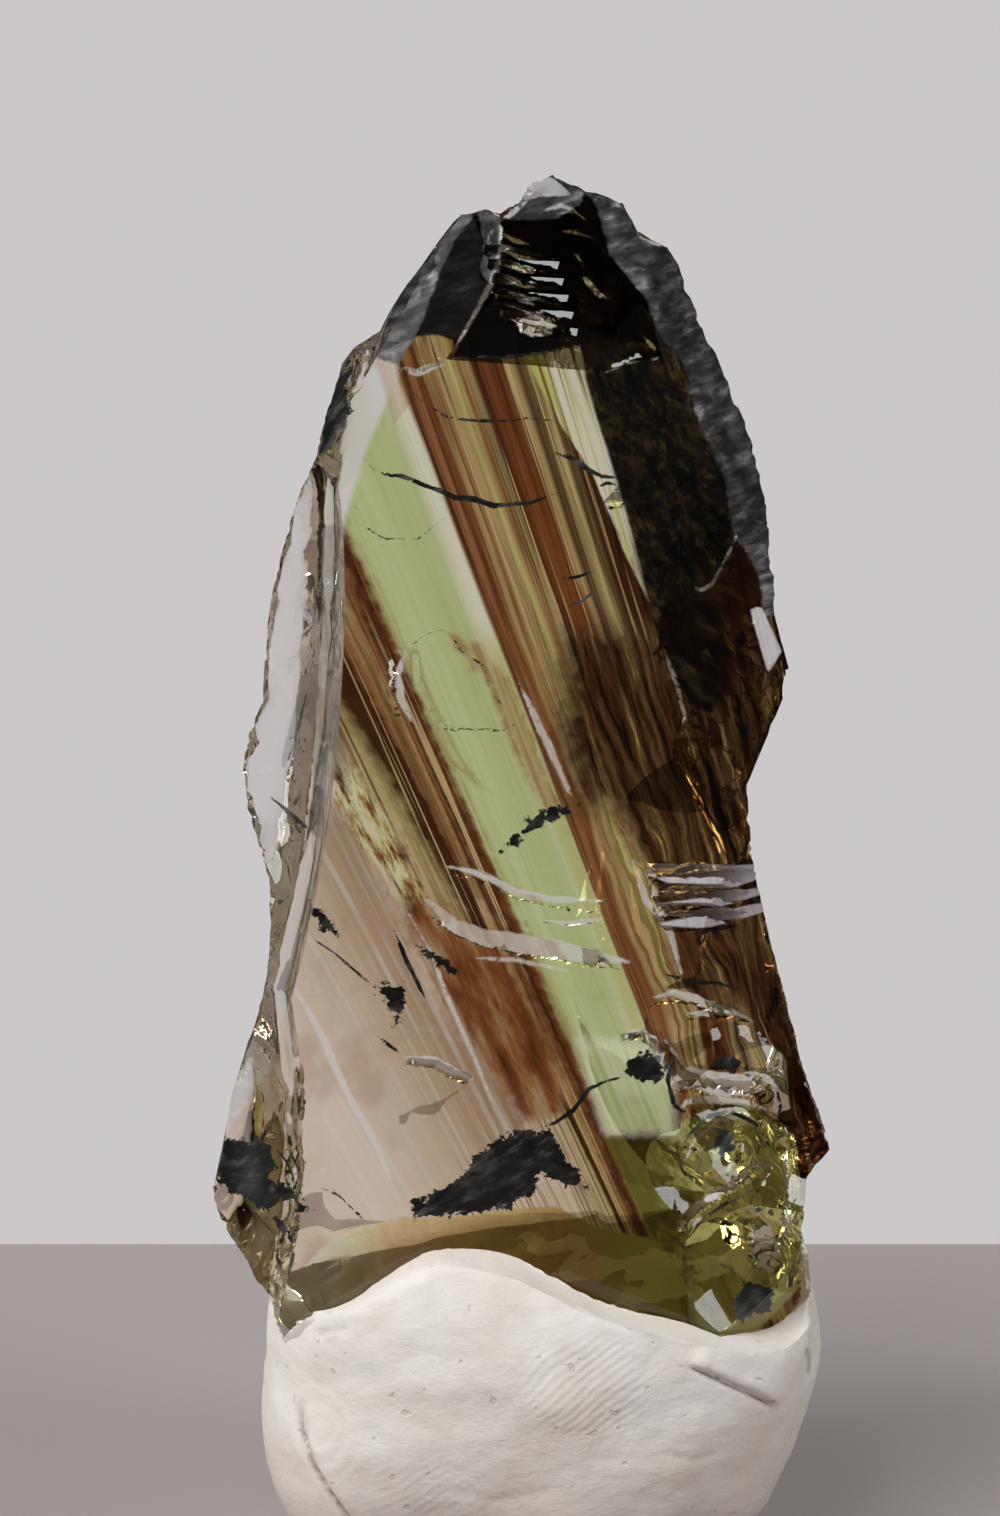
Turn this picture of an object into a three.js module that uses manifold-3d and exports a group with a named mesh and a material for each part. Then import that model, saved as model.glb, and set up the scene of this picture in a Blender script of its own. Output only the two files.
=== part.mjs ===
// A shard of natural glass standing upright in a pressed lump of white mounting putty.
// Millimetres, +Z up, the flat underside of the putty on Z = 0. The broad face of the shard looks along -Y.

import * as THREE from 'three';
import { mergeVertices } from 'three/addons/utils/BufferGeometryUtils.js';
import Module from 'manifold-3d';

const wasm = await Module();
wasm.setup();

// ---- driving dimensions ----
const BLANK_DEPTH = 26;      // the shard before its front and back faces are split off
const SEAT_GAP = 0.3;        // room between the shard's foot and its socket in the putty
const CUTTER_SIZE = 320;     // edge of the box behind each flat break, much larger than the shard
const SHARD_MIDDLE = [0, 0, 45];
const PUTTY_CENTRE = [1.8, -1.0, 14.0];   // middle of the lump's widest level
const PUTTY_RADII = [17.5, 14.2];          // half its width and half its depth there
const PUTTY_RISE = 14.0;                   // how far it would round over above that level
const PUTTY_DROP = 15.0;                   // and below it, a little more than down to the flat underside
const PUTTY_LEAN = 0.16;                   // how far its lower half draws to the left for each mm down
const PUTTY_SQUARENESS = 2.7;              // 2 is an ellipsoid, more is boxier

// ---- solids and meshes ----
function toSolid(geometry) {
  const bare = geometry.clone();
  bare.deleteAttribute('normal');
  bare.deleteAttribute('uv');
  const merged = mergeVertices(bare, 1e-4);
  const vertProperties = new Float32Array(merged.attributes.position.array);
  const triVerts = new Uint32Array(merged.index.array);
  return new wasm.Manifold(new wasm.Mesh({ numProp: 3, vertProperties, triVerts }));
}

function toMesh(solid, name, material) {
  const shape = solid.getMesh();
  const geometry = new THREE.BufferGeometry();
  geometry.setAttribute('position', new THREE.BufferAttribute(new Float32Array(shape.vertProperties), 3));
  geometry.setIndex(new THREE.BufferAttribute(new Uint32Array(shape.triVerts), 1));
  geometry.computeVertexNormals();
  const mesh = new THREE.Mesh(geometry, material);
  mesh.name = name;
  return mesh;
}

// A front-view outline of [x, z] points, extruded along Y from yFront to yBack.
function extrudeFrontView(points, yFront, yBack) {
  const outline = new THREE.Shape(points.map(([x, z]) => new THREE.Vector2(x, z)));
  const geometry = new THREE.ExtrudeGeometry(outline, { depth: yBack - yFront, bevelEnabled: false });
  geometry.rotateX(Math.PI / 2);
  geometry.translate(0, yBack, 0);
  return toSolid(geometry);
}

// One flat break: takes away all that lies beyond the plane through three points, seen from the shard's middle.
function splitOff(solid, [a, b, c], grow = 0) {
  const plane = new THREE.Plane().setFromCoplanarPoints(...[a, b, c].map((p) => new THREE.Vector3(...p)));
  if (plane.distanceToPoint(new THREE.Vector3(...SHARD_MIDDLE)) > 0) plane.negate();
  const box = new THREE.BoxGeometry(CUTTER_SIZE, CUTTER_SIZE, CUTTER_SIZE);
  box.translate(0, 0, CUTTER_SIZE / 2 + grow);
  box.applyQuaternion(new THREE.Quaternion().setFromUnitVectors(new THREE.Vector3(0, 0, 1), plane.normal));
  const onPlane = plane.normal.clone().multiplyScalar(-plane.constant);
  box.translate(onPlane.x, onPlane.y, onPlane.z);
  return solid.subtract(toSolid(box));
}

// One shell-shaped break: takes away an ellipsoid, leaned to the right in the front view by leanDeg.
function scoopOut(solid, { centre, radii, leanDeg = 0 }, grow = 0) {
  const ball = new THREE.IcosahedronGeometry(1, Math.min(9, 3 + Math.round(Math.max(...radii) / 2)));
  ball.scale(...radii.map((radius) => radius - grow));
  ball.rotateY(THREE.MathUtils.degToRad(leanDeg));
  ball.translate(...centre);
  return solid.subtract(toSolid(ball));
}

// ---- the shard ----
// Front view, clockwise from the notch between its two peaks: right side, foot, left side.
const SHARD_OUTLINE = [
  [-1.1, 85.9], [0.0, 86.7], [0.9, 87.8], [2.4, 88.4], [3.9, 88.5], [5.0, 87.8], [6.4, 86.5],
  [7.5, 84.6], [9.6, 83.7], [10.3, 82.7], [11.3, 79.9], [12.4, 77.4], [13.4, 74.4], [14.4, 71.8],
  [15.2, 68.2], [15.4, 62.6], [16.5, 58.7], [15.6, 56.2], [13.9, 52.1], [14.2, 48.2], [15.1, 43.8],
  [16.4, 39.0], [17.4, 35.3], [18.0, 32.4], [19.3, 29.1], [17.9, 27.4], [17.5, 24.2], [17.9, 20.8],
  [18.0, 18.4], [16.6, 16.2], [14.4, 13.4], [11.0, 9.5], [6.0, 6.2], [0.0, 5.0], [-6.0, 6.4],
  [-9.6, 10.0], [-12.0, 14.0], [-14.4, 17.2], [-16.6, 18.9], [-18.4, 21.5], [-19.5, 23.7],
  [-18.7, 26.4], [-18.0, 30.7], [-16.8, 34.1], [-15.8, 37.6], [-15.4, 41.5], [-15.5, 44.4],
  [-16.1, 46.7], [-17.0, 49.8], [-17.1, 52.1], [-16.5, 54.4], [-15.8, 55.9], [-15.4, 61.4],
  [-14.6, 64.8], [-13.4, 69.0], [-12.3, 71.3], [-11.7, 73.8], [-10.9, 76.3], [-10.2, 77.3],
  [-8.5, 78.3], [-7.9, 79.8], [-7.0, 81.3], [-5.6, 83.0], [-3.6, 85.8], [-1.9, 86.3],
];

// The flat breaks, each by three points on it.
const BREAKS = {
  frontFace: [[-6, -7.2, 60], [8, -7.6, 60], [0, -9.8, 25]],
  frontTop: [[-1.1, -5.5, 82.5], [9.2, -6.0, 78.4], [2.9, -2.0, 88.6]],
  frontTopLeft: [[-1.1, -5.4, 82.5], [-3.7, -5.9, 78.6], [-3.7, -1.8, 85.5]],
  leftShoulder: [[-3.6, -2.6, 85.0], [-7.6, -5.2, 77.4], [-8.2, -0.8, 79.6]],
  rightShoulder: [[5.4, -3.6, 84.0], [8.1, -5.0, 80.2], [8.0, -0.8, 84.4]],
  rightBevel: [[8.1, -5.2, 80.2], [12.8, -6.8, 70.0], [12.6, -1.2, 77.4]],
  backFace: [[-9, 5.2, 60], [6, 9.2, 60], [0, 8.1, 25]],
  backTop: [[-8, 7.0, 74.6], [6, 9.0, 75.4], [-2.5, -1.6, 86.4]],
  backLeft: [[-16.6, 0.8, 56], [-9, 5.2, 60], [-18.4, 0.8, 28]],
  backRight: [[4.4, 9.0, 77.0], [8.8, 9.4, 60.0], [15.4, -2.0, 66.0]],
  backRightLow: [[11.6, 8.6, 50.0], [12.6, 8.4, 25.0], [18.4, 0.6, 31.0]],
  footLeft: [[-16.4, -7.0, 18.4], [-12.6, -9.6, 18.4], [-10.5, -6.0, 8.0]],
  footRight: [[12.5, -9.9, 16.8], [17.6, -5.5, 17.6], [11.0, -6.0, 8.0]],
  footFront: [[-8, -10.6, 14], [8, -10.6, 14], [0, -6.0, 4.5]],
  footBack: [[-8, 6.6, 14], [8, 7.6, 14], [0, 4.0, 4.5]],
};

// The shard with its flat breaks only, grown by grow on every side.
function shardBlank(grow) {
  const widthScale = 1 + grow / 17;
  const outline = SHARD_OUTLINE.map(([x, z]) => [x * widthScale, z - grow]);
  const blank = extrudeFrontView(outline, -BLANK_DEPTH / 2, BLANK_DEPTH / 2);
  return Object.values(BREAKS).reduce((solid, points) => splitOff(solid, points, grow), blank);
}

// The shell-shaped breaks. On the front: the long flake scar that leaves the thin left edge, and the one below
// it; the scar down the lower right and the four hollows that crowd in it; the scar low in the middle. On the
// back: three shallow scars that meet in ridges. Last, the chip on the right edge.
const SCOOPS = [
  { centre: [-15.6, -8.4, 53.5], radii: [4.6, 7.2, 23], leanDeg: 7 },
  { centre: [-19.6, -8.6, 27.0], radii: [6.2, 7.6, 19], leanDeg: 5 },
  { centre: [19.6, -15.0, 40.0], radii: [11.0, 10.0, 15] },
  { centre: [11.8, -20.2, 37.0], radii: [11, 12, 8.5], leanDeg: 24 },
  { centre: [15.8, -18.8, 31.4], radii: [9, 12, 9], leanDeg: -20 },
  { centre: [11.2, -20.7, 27.8], radii: [10, 12, 6.0], leanDeg: 40 },
  { centre: [15.0, -20.2, 22.2], radii: [9, 12, 8], leanDeg: 20 },
  { centre: [-0.6, -20.4, 25.6], radii: [14, 11.6, 10], leanDeg: -14 },
  { centre: [-10.0, 19.0, 36.0], radii: [15, 14.5, 24], leanDeg: 10 },
  { centre: [13.0, 20.0, 36.0], radii: [14, 14.5, 20], leanDeg: -14 },
  { centre: [7.0, 19.6, 63.0], radii: [9, 12, 11], leanDeg: 24 },
  { centre: [19.2, -5.0, 57.4], radii: [4.2, 5.0, 3.2], leanDeg: 20 },
];

// Flights of small ledges, where the break ran on in jumps. Each ledge is flat, leans back by LEDGE_LEAN_DEG
// and turns to the left by LEDGE_TURN_DEG; first is the middle of the lowest one's foot, and each further one is
// a stride on.
const LEDGE_CUT_DEPTH = 4;
const LEDGE_LEAN_DEG = 28;
const LEDGE_TURN_DEG = 14;
const LEDGE_FLIGHTS = [
  { first: [1.3, -5.6, 79.4], stride: [-0.28, 0.36, 0.95], width: 4.6, height: 0.6, tiltDeg: 9, count: 5 },
  { first: [12.4, -6.6, 42.9], stride: [-0.3, -0.1, 1.3], width: 6.4, height: 0.75, tiltDeg: -6, count: 3 },
];

function ledgeCutters({ first, stride, width, height, tiltDeg, count }) {
  return Array.from({ length: count }, (_, i) => {
    const box = new THREE.BoxGeometry(width, LEDGE_CUT_DEPTH, height);
    box.translate(0, -LEDGE_CUT_DEPTH / 2, height / 2);
    box.rotateX(THREE.MathUtils.degToRad(-LEDGE_LEAN_DEG));
    box.rotateZ(THREE.MathUtils.degToRad(-LEDGE_TURN_DEG));
    box.rotateY(THREE.MathUtils.degToRad(tiltDeg));
    box.translate(...first.map((value, axis) => value + i * stride[axis]));
    return toSolid(box);
  });
}

// The shard without its ledges. With grow, the same form larger on every side, which is the socket's cutter.
function scoopedShard(grow = 0) {
  return SCOOPS.reduce((solid, scoop) => scoopOut(solid, scoop, grow), shardBlank(grow));
}

function makeShard() {
  return LEDGE_FLIGHTS.flatMap(ledgeCutters).reduce((solid, cutter) => solid.subtract(cutter), scoopedShard());
}

// ---- the putty ----
// Front view of the lump's upper edge as [x, z] points, from left to right: the lip in front of the shard, and
// the rim behind it. One runs into the other between LIP_BACK_Y and RIM_FRONT_Y.
const FRONT_LIP = [
  [-20.0, 18.0], [-15.3, 18.4], [-14.8, 19.2], [-11.3, 19.4], [-9.7, 20.2], [-7.2, 22.0], [-4.8, 23.1],
  [-2.3, 23.1], [0.2, 22.6], [2.7, 21.5], [5.1, 20.2], [8.2, 19.4], [11.4, 18.4], [12.9, 17.6],
  [16.0, 16.6], [20.0, 18.0],
];
const BACK_RIM = [
  [-20.0, 17.5], [-15.3, 18.0], [-12.0, 18.6], [-6.0, 19.4], [2.0, 19.6], [9.0, 20.4], [14.0, 23.0],
  [16.5, 24.8], [18.2, 24.6], [20.0, 21.0],
];
const LIP_BACK_Y = -8;
const RIM_FRONT_Y = -1;

function heightAlong(line, x) {
  const next = Math.max(1, line.findIndex(([end]) => end >= x));
  const [[x0, z0], [x1, z1]] = [line[next - 1], line[next]];
  return THREE.MathUtils.mapLinear(x, x0, x1, z0, z1);
}

// A squarish ball, leaned to the left below its widest level, and pressed down to the lip and the rim.
function pressedLump() {
  const ball = new THREE.SphereGeometry(1, 56, 40);
  ball.rotateX(Math.PI / 2);
  const spot = new THREE.Vector3();
  const place = ball.attributes.position;
  for (let i = 0; i < place.count; i += 1) {
    spot.fromBufferAttribute(place, i);
    const power = [spot.x, spot.y, spot.z].reduce((sum, side) => sum + Math.abs(side) ** PUTTY_SQUARENESS, 0);
    spot.multiplyScalar(power ** (-1 / PUTTY_SQUARENESS));
    const height = spot.z * (spot.z > 0 ? PUTTY_RISE : PUTTY_DROP);
    const x = PUTTY_CENTRE[0] + spot.x * PUTTY_RADII[0] + PUTTY_LEAN * Math.min(height, 0);
    const y = PUTTY_CENTRE[1] + spot.y * PUTTY_RADII[1];
    const towardBack = THREE.MathUtils.smoothstep(y, LIP_BACK_Y, RIM_FRONT_Y);
    const top = THREE.MathUtils.lerp(heightAlong(FRONT_LIP, x), heightAlong(BACK_RIM, x), towardBack);
    place.setXYZ(i, x, y, Math.min(PUTTY_CENTRE[2] + height, top));
  }
  return toSolid(ball);
}

function makePutty() {
  const wideBox = new THREE.BoxGeometry(60, 60, 60);
  wideBox.translate(0, 0, 30);
  return pressedLump().intersect(toSolid(wideBox)).subtract(scoopedShard(SEAT_GAP));
}

// ---- materials ----
const flowGlass = new THREE.MeshStandardMaterial({ color: 0x8a8c55, roughness: 0.05, metalness: 0 });
const whitePutty = new THREE.MeshStandardMaterial({ color: 0xe0dad2, roughness: 0.75, metalness: 0 });

// ---- the object ----
const specimen = new THREE.Group();
specimen.add(toMesh(makeShard(), 'crystal', flowGlass));
specimen.add(toMesh(makePutty(), 'putty_base', whitePutty));

// The origin is on the underside, below the middle of the whole.
const middle = new THREE.Box3().setFromObject(specimen).getCenter(new THREE.Vector3());
specimen.position.set(-middle.x, -middle.y, 0);

export default specimen;
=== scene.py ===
import math

import bmesh
import bpy
import numpy as np
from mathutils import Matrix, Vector, noise


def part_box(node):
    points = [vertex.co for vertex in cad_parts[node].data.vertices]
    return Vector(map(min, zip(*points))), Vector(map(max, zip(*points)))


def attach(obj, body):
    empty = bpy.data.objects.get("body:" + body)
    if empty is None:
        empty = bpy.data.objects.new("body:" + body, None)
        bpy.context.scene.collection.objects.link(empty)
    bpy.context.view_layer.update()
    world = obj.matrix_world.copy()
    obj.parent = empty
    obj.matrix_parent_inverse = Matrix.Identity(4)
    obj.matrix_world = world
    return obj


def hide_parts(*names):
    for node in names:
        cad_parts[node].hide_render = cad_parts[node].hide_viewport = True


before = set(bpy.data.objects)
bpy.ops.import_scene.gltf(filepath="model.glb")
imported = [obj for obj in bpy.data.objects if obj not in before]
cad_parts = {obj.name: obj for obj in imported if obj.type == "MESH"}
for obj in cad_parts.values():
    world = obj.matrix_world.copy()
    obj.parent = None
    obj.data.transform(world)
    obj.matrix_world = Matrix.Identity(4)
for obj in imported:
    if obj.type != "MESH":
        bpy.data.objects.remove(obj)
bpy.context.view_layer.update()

scene = bpy.context.scene
MM = 0.001
# The shard's own zero, from which all its breaks and bands are measured, in millimetres: 19.5 right of its
# left corner, and 15.2 behind the front of the putty.
ZERO = np.array([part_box("crystal")[0].x / MM + 19.5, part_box("putty_base")[0].y / MM + 15.2, 0.0])

VIEW_ELEVATION = math.radians(12)
VIEW_DISTANCE = 263
VIEW_HEIGHT = 52
VIEW_ASIDE = -1.06
aim = Vector((ZERO[0] + VIEW_ASIDE, ZERO[1], VIEW_HEIGHT))
camera = bpy.data.objects.new("camera", bpy.data.cameras.new("camera"))
camera.data.lens = 100
camera.data.clip_start = 0.01
away = Vector((0, -math.cos(VIEW_ELEVATION), math.sin(VIEW_ELEVATION)))
camera.location = (aim + VIEW_DISTANCE * away) * MM
camera.rotation_euler = (math.pi / 2 - VIEW_ELEVATION, 0, 0)
scene.collection.objects.link(camera)
scene.camera = camera

# ----------------------------------------------------------------------------------------------------
# The room: a pale floor that runs off without an edge, with a greyer mat on it under the object, below a
# pale sky that is dim overhead. A wide soft light stands in front above, and others at the sides and behind.


class Nodes:
    """A material's or world's node tree: add() makes a node from its type, settings and socket values."""

    def __init__(self, tree):
        self.tree = tree
        tree.nodes.clear()

    def add(self, kind, settings=None, out=0, **sockets):
        node = self.tree.nodes.new(kind)
        for name, value in (settings or {}).items():
            if name == "stops":
                ramp = node.color_ramp.elements
                while len(ramp) > 1:
                    ramp.remove(ramp[-1])
                for i, (place, colour) in enumerate(value):
                    stop = ramp[0] if i == 0 else ramp.new(place)
                    stop.position = place
                    stop.color = (*colour, 1.0)
            else:
                setattr(node, name, value)
        for name, value in sockets.items():
            name = name.replace("_", " ")
            socket = node.inputs[int(name[3:])] if name.startswith("in ") else node.inputs[name]
            self.join(value, socket)
        return Socket(self, node.outputs[out]) if node.outputs else None

    def join(self, value, socket):
        if isinstance(value, Socket):
            self.tree.links.new(value.socket, socket)
        elif isinstance(value, (tuple, list)) and len(value) == 3 and socket.type == "RGBA":
            socket.default_value = (*value, 1.0)
        else:
            socket.default_value = value


class Socket:
    """A node's output, on which Python's own signs add Math nodes."""

    def __init__(self, nodes, socket):
        self.nodes = nodes
        self.socket = socket

    def math(self, operation, a, b):
        return self.nodes.add("ShaderNodeMath", {"operation": operation}, in_0=a, in_1=b)

    def __add__(self, other):
        return self.math("ADD", self, other)

    def __radd__(self, other):
        return self.math("ADD", other, self)

    def __sub__(self, other):
        return self.math("SUBTRACT", self, other)

    def __rsub__(self, other):
        return self.math("SUBTRACT", other, self)

    def __mul__(self, other):
        return self.math("MULTIPLY", self, other)

    def __rmul__(self, other):
        return self.math("MULTIPLY", other, self)

    def __truediv__(self, other):
        return self.math("DIVIDE", self, other)

    def low(self, other):
        return self.math("MINIMUM", self, other)

    def high(self, other):
        return self.math("MAXIMUM", self, other)

    def sine(self):
        return self.math("SINE", self, 0.0)

    def step(self, start, end):
        """0 before start, 1 past end, smooth between; start may be the larger."""
        smooth = {"interpolation_type": "SMOOTHSTEP"}
        return self.nodes.add("ShaderNodeMapRange", smooth, Value=self, From_Min=start, From_Max=end)

    def colour(self, *stops):
        """A colour ramp: each stop is a place and its colour."""
        return self.nodes.add("ShaderNodeValToRGB", {"stops": stops}, Fac=self)


def linear(value):
    """A screen value of 0 to 255 as an amount of light."""
    value /= 255
    return value / 12.92 if value < 0.04045 else ((value + 0.055) / 1.055) ** 2.4


def srgb(red, green, blue):
    return linear(red), linear(green), linear(blue)


def new_material(name):
    material = bpy.data.materials.new(name)
    material.use_nodes = True
    return material, Nodes(material.node_tree)


def mirrored(nodes):
    """1 for a ray that comes straight from a mirror-like reflection."""
    reflected = nodes.add("ShaderNodeLightPath", out=5)
    diffuse = nodes.add("ShaderNodeLightPath", out=2)
    return reflected * (1 - diffuse)


# A painted dark reflection: the grey that mirror-like reflections of the stage sheets show.
def painted_dark_reflection(nodes):
    return nodes.add("ShaderNodeEmission", Color=srgb(62, 60, 60), Strength=1.0)


def plate(name, x_range, y_range, level, colour, glow=0.0):
    """A level stage sheet, in millimetres. With glow it shines with its own colour, like a lit backdrop.
    In mirror-like reflections it shows a painted dark grey instead, a painted reflection as if black cloths
    hung beside the table."""
    (left, right), (front, back) = x_range, y_range
    corners = [(left, front), (right, front), (right, back), (left, back)]
    mesh = bpy.data.meshes.new(name)
    mesh.from_pydata([(x * MM, y * MM, level * MM) for x, y in corners], [], [(0, 1, 2, 3)])
    sheet = bpy.data.objects.new(name, mesh)
    scene.collection.objects.link(sheet)
    material, nodes = new_material(name)
    if glow:
        shine = nodes.add("ShaderNodeEmission", Color=colour, Strength=glow)
    else:
        shine = nodes.add("ShaderNodeBsdfPrincipled", Base_Color=colour, Roughness=0.9)
    shine = nodes.add("ShaderNodeMixShader", in_0=mirrored(nodes), in_1=shine, in_2=painted_dark_reflection(nodes))
    nodes.add("ShaderNodeOutputMaterial", Surface=shine)
    mesh.materials.append(material)


FLOOR_REACH = (-6000, 6000)
plate("floor", FLOOR_REACH, FLOOR_REACH, -0.3, srgb(204, 200, 201), glow=1.0)
plate("mat", (-320, 320), (-600, 61), 0, srgb(157, 149, 147))

world = bpy.data.worlds.new("room")
scene.world = world
world.use_nodes = True
nodes = Nodes(world.node_tree)
ray = nodes.add("ShaderNodeTexCoord", out=0)
height = nodes.add("ShaderNodeSeparateXYZ", out=2, Vector=ray)
sky = (height * 0.5 + 0.5).colour(
    (0.0, srgb(120, 118, 118)),
    (0.5, srgb(150, 148, 148)),
    (0.6, srgb(110, 109, 110)),
    (0.75, srgb(66, 66, 70)),
    (1.0, srgb(60, 60, 64)),
)
# The sky is dimmer in mirror-like reflections than in the light it gives: a painted dark reflection.
light = nodes.add("ShaderNodeBackground", Color=sky, Strength=0.6 - 0.35 * mirrored(nodes))
nodes.add("ShaderNodeOutputWorld", Surface=light)


def soft_light(name, place, size, watts):
    """A rectangular light, in metres, turned towards the middle of the object."""
    lamp = bpy.data.lights.new(name, "AREA")
    lamp.shape = "RECTANGLE"
    lamp.size, lamp.size_y = size
    lamp.energy = watts
    holder = bpy.data.objects.new(name, lamp)
    holder.location = place
    holder.rotation_euler = (Vector(place) - Vector((0, 0, 0.045))).to_track_quat("Z", "Y").to_euler()
    scene.collection.objects.link(holder)


soft_light("front_light", (-0.3, -0.36, 0.75), (0.5, 0.35), 5.2)
soft_light("left_light", (-0.75, -0.32, 0.22), (0.22, 0.5), 3.0)
soft_light("right_light", (0.62, -0.3, 0.45), (0.25, 0.5), 2.5)
soft_light("back_light", (0.1, 0.7, 0.6), (0.5, 0.3), 3.0)
scene.view_settings.view_transform = "Standard"
scene.cycles.max_bounces = 24
scene.cycles.transmission_bounces = 24
scene.cycles.glossy_bounces = 12
scene.cycles.sample_clamp_indirect = 6

# ----------------------------------------------------------------------------------------------------
# The crystal: one shard of natural glass, clear green and purple-brown in bands that flowed while it was
# hot, and broken on all sides in shell-shaped scars, ledges and hackled bevels. It is one solid piece, held
# by the putty around its foot alone.


def read_mesh(node):
    """A CAD node's corners, in millimetres from the shard's own zero, and its triangles. Equal corners are
    joined."""
    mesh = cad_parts[node].data
    mesh.calc_loop_triangles()
    corners = np.array([v.co for v in mesh.vertices]) / MM - ZERO
    triangles = np.array([t.vertices for t in mesh.loop_triangles])
    _, first, same = np.unique(np.round(corners, 3), axis=0, return_index=True, return_inverse=True)
    triangles = same.reshape(-1)[triangles]
    keep = (triangles[:, 0] != triangles[:, 1]) & (triangles[:, 1] != triangles[:, 2])
    keep &= triangles[:, 2] != triangles[:, 0]
    return corners[first], triangles[keep]


def edges_of(triangles):
    """The edges as pairs of corners, and which three of them each triangle has."""
    sides = np.stack([triangles[:, [0, 1]], triangles[:, [1, 2]], triangles[:, [2, 0]]], 1).reshape(-1, 2)
    count = triangles.max() + 1
    keys, where = np.unique(sides.min(1) * count + sides.max(1), return_inverse=True)
    return np.stack([keys // count, keys % count], 1), where.reshape(-1, 3)


def split_long_edges(points, triangles, shortest, wanted):
    """Halves edges that are longer than both shortest and what wanted(middles) says at their middles."""
    for _ in range(8):
        edges, where = edges_of(triangles)
        middles = points[edges].mean(1)
        length = np.linalg.norm(points[edges[:, 0]] - points[edges[:, 1]], axis=1)
        long = length > shortest
        long[long] = length[long] > wanted(middles[long])
        if not long.any():
            break
        number = np.full(len(edges), -1)
        number[long] = len(points) + np.arange(long.sum())
        points = np.vstack([points, middles[long]])
        middle = number[where]
        count = (middle >= 0).sum(1)
        a, b, c = triangles[count == 3].T
        ab, bc, ca = middle[count == 3].T
        pieces = [triangles[count == 0]]
        pieces += [np.stack(trio, 1) for trio in ((a, ab, ca), (ab, b, bc), (ca, bc, c), (ab, bc, ca))]
        for turn in range(3):
            a, b, c = np.roll(triangles, -turn, axis=1).T
            ab, bc, ca = np.roll(middle, -turn, axis=1).T
            one = (count == 1) & (ab >= 0)
            two = (count == 2) & (ca < 0)
            pieces += [np.stack([a[one], ab[one], c[one]], 1), np.stack([ab[one], b[one], c[one]], 1)]
            pieces += [np.stack([ab[two], b[two], bc[two]], 1), np.stack([a[two], ab[two], bc[two]], 1)]
            pieces += [np.stack([a[two], bc[two], c[two]], 1)]
        triangles = np.vstack(pieces)
    return points, triangles


def even_out(points, triangles, crease_deg):
    """Turns diagonals between nearly level neighbours, so that no triangle is needlessly thin."""
    sheet = bpy.data.meshes.new("draft")
    sheet.from_pydata(points.tolist(), [], triangles.tolist())
    shell = bmesh.new()
    shell.from_mesh(sheet)
    level = [e for e in shell.edges if e.is_manifold and e.calc_face_angle() < math.radians(crease_deg)]
    bmesh.ops.beautify_fill(shell, faces=shell.faces, edges=level, method="ANGLE")
    shell.to_mesh(sheet)
    shell.free()
    triangles = np.empty(3 * len(sheet.polygons), dtype=np.int32)
    sheet.polygons.foreach_get("vertices", triangles)
    bpy.data.meshes.remove(sheet)
    return triangles.reshape(-1, 3).astype(np.int64)


def face_normals(points, triangles):
    a, b, c = (points[triangles[:, i]] for i in range(3))
    cross = np.cross(b - a, c - a)
    return cross, cross / np.maximum(np.linalg.norm(cross, axis=1), 1e-12)[:, None]


def corner_normals(points, triangles):
    cross, _ = face_normals(points, triangles)
    total = np.zeros_like(points)
    for i in range(3):
        np.add.at(total, triangles[:, i], cross)
    return total / np.maximum(np.linalg.norm(total, axis=1), 1e-12)[:, None]


def soften(points, triangles, crease_deg, rounds):
    """Evens out the small flats of curved breaks. Edges sharper than crease_deg are smoothed only along
    themselves."""
    edges, where = edges_of(triangles)
    _, normals = face_normals(points, triangles)
    first = np.full(len(edges), -1)
    last = np.full(len(edges), -1)
    faces = np.repeat(np.arange(len(triangles)), 3)
    first[where.reshape(-1)[::-1]] = faces[::-1]
    last[where.reshape(-1)] = faces
    sharp = (normals[first] * normals[last]).sum(1) < math.cos(math.radians(crease_deg))
    sharp_count = np.bincount(edges[sharp].ravel(), minlength=len(points))
    on_line = sharp_count == 2
    loose = sharp_count == 0
    for _ in range(rounds):
        moved = points.copy()
        for chosen, links in ((loose, edges), (on_line, edges[sharp])):
            both = np.vstack([links, links[:, ::-1]])
            count = np.bincount(both[:, 0], minlength=len(points))
            for axis in range(3):
                total = np.bincount(both[:, 0], weights=points[both[:, 1], axis], minlength=len(points))
                moved[chosen, axis] += 0.5 * (total[chosen] / count[chosen] - points[chosen, axis])
        points = moved
    return points


def ramp(value, start, end):
    """0 before start, 1 past end, smooth between; start may be the larger."""
    t = np.clip((value - start) / (end - start), 0, 1)
    return t * t * (3 - 2 * t)


def rough(points, size, seed):
    """Smooth noise of about -1 to 1 with lumps of the given size, which may differ by axis."""
    shifted = points / np.array(size) + seed * 7.31
    return 1.6 * np.array([noise.noise(p) for p in shifted.tolist()])


def from_line(x, z, line):
    """Distance from a broken line in the front view, positive on its left, and the way along it, 0 to 1."""
    line = np.array(line, dtype=float)
    steps = np.linalg.norm(np.diff(line, axis=0), axis=1)
    start = np.concatenate([[0], np.cumsum(steps)])
    best = np.full(len(x), 1e9)
    side = np.zeros(len(x))
    way = np.zeros(len(x))
    for i, (a, b) in enumerate(zip(line[:-1], line[1:])):
        along = ((x - a[0]) * (b[0] - a[0]) + (z - a[1]) * (b[1] - a[1])) / steps[i] ** 2
        t = np.clip(along, 0, 1)
        distance = np.hypot(x - a[0] - t * (b[0] - a[0]), z - a[1] - t * (b[1] - a[1]))
        nearer = distance < best
        cross = (b[0] - a[0]) * (z - a[1]) - (b[1] - a[1]) * (x - a[0])
        best = np.where(nearer, distance, best)
        side = np.where(nearer, np.sign(cross), side)
        way = np.where(nearer, (start[i] + t * steps[i]) / start[-1], way)
    return best * side, way


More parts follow.
